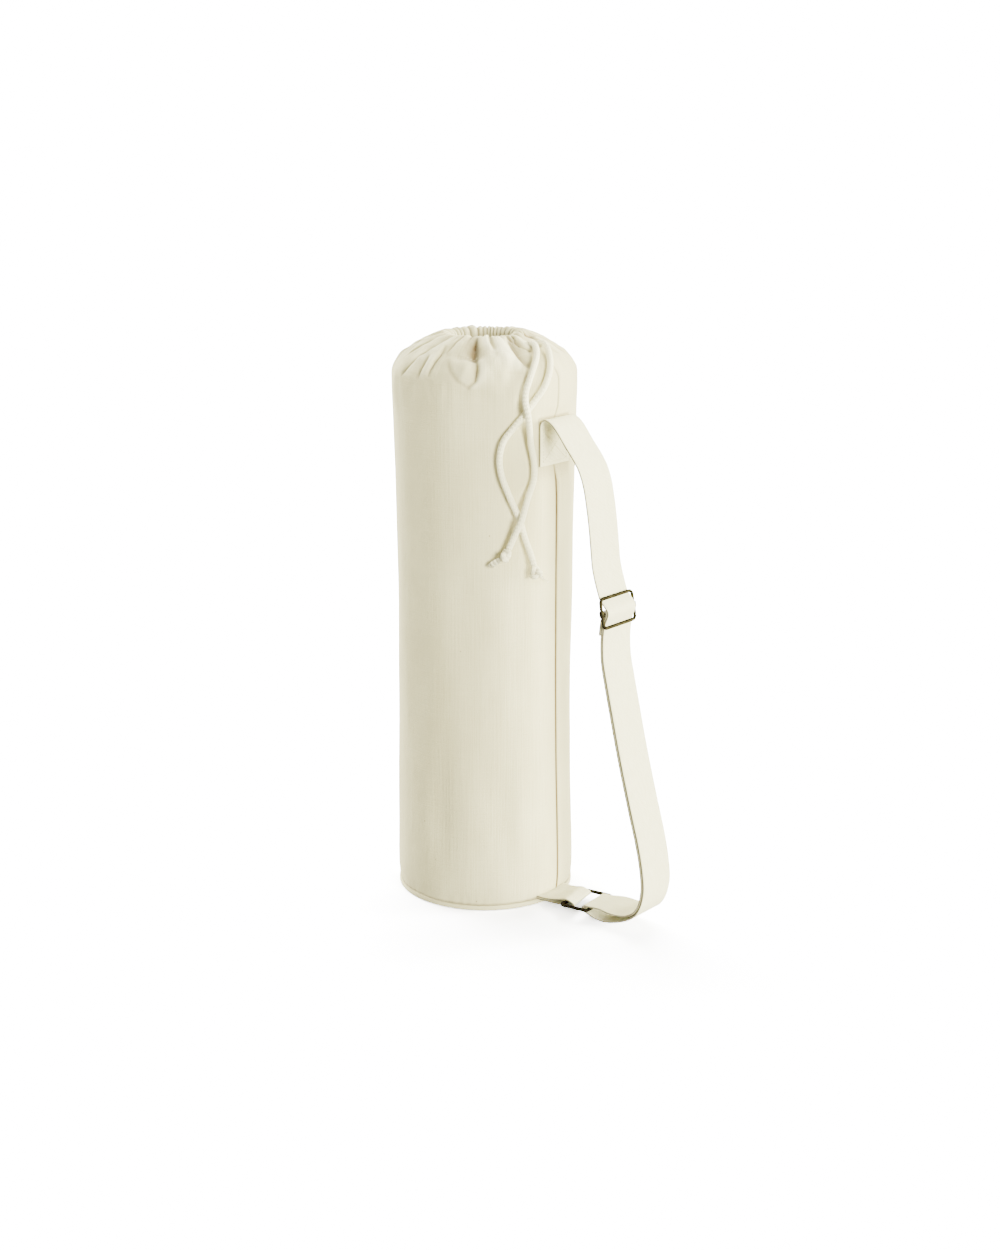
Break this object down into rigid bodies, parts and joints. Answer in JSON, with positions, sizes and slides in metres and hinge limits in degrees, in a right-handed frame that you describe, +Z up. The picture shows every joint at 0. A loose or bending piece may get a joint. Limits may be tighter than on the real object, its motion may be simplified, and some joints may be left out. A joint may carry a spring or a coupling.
{
  "type": "yoga mat bag",
  "caption": "Tall round canvas bag for a rolled mat, with a gathered drawcord mouth, a webbing shoulder strap with a wire slider, and a webbing tab with a ring at the base.",
  "frame": {"origin": "centre of the round base, on the floor that the bag stands on", "axes": "+Z up along the bag's axis; +X towards the shoulder strap, which lies in the XZ plane"},
  "size_m": [0.3468, 0.2038, 0.64],
  "materials": {
    "canvas": "natural unbleached cotton canvas, matt",
    "webbing": "cotton webbing with fine cross ribs, matt",
    "cotton_cord": "braided cotton cord, matt",
    "antique_brass": "antique brass plating, dark, satin"
  },
  "bodies": {
    "root": {"body_panel": "canvas", "mouth_casing": "canvas", "base_disc": "canvas", "base_binding": "canvas", "strap": "webbing", "slider_frame": "antique_brass", "slider_bar": "antique_brass", "base_tab": "webbing", "base_ring": "antique_brass", "drawcord_ring": "cotton_cord", "drawcord_a": "cotton_cord", "drawcord_b": "cotton_cord", "cord_knot_a": "cotton_cord", "cord_knot_b": "cotton_cord"}
  },
  "joints": []
}
